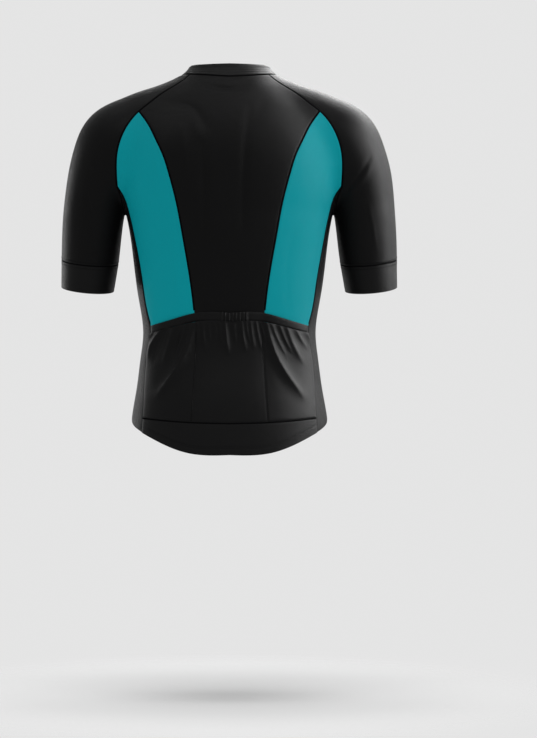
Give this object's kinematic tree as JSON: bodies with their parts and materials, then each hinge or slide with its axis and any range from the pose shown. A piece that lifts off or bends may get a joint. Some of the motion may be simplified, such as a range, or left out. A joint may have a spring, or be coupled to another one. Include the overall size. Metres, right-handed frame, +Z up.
{
  "type": "cycling jersey",
  "caption": "Short-sleeved raglan cycling jersey in black and teal knit, with a low stand collar, full front zip, dropped back hem and gathered back pockets.",
  "frame": {"origin": "middle of the neck opening, level with the shoulders at the collar seam", "axes": "+Z up along the wearer's neck, -Y the way the wearer faces, +X to the wearer's left"},
  "size_m": [0.6166, 0.2453, 0.7068],
  "materials": {
    "black_knit": "fine matt polyester knit",
    "black_band": "close elastic knit",
    "teal_knit": "fine matt polyester knit",
    "zip_tape": "woven tape with moulded coils",
    "zip_metal": "black coated zinc"
  },
  "bodies": {
    "garment": {"back_centre": "black_knit", "side_left": "black_knit", "side_right": "black_knit", "front_left": "black_knit", "front_right": "black_knit", "sleeve_left": "black_knit", "sleeve_right": "black_knit", "pocket_left": "black_knit", "pocket_centre": "black_knit", "pocket_right": "black_knit", "collar": "black_band", "cuff_left": "black_band", "cuff_right": "black_band", "pocket_elastic": "black_band", "hem_band": "black_band", "back_side_left": "teal_knit", "back_side_right": "teal_knit", "zip": "zip_tape", "zip_slider": "zip_metal"},
    "zip_pull": {"zip_pull": "zip_metal"}
  },
  "joints": [
    {"name": "zip_pull_hinge", "type": "hinge", "parent": "garment", "child": "zip_pull", "pos_m": [0, -0.08608, -0.03394], "axis": [-1, 0, 0], "range_deg": [0, 170]}
  ]
}
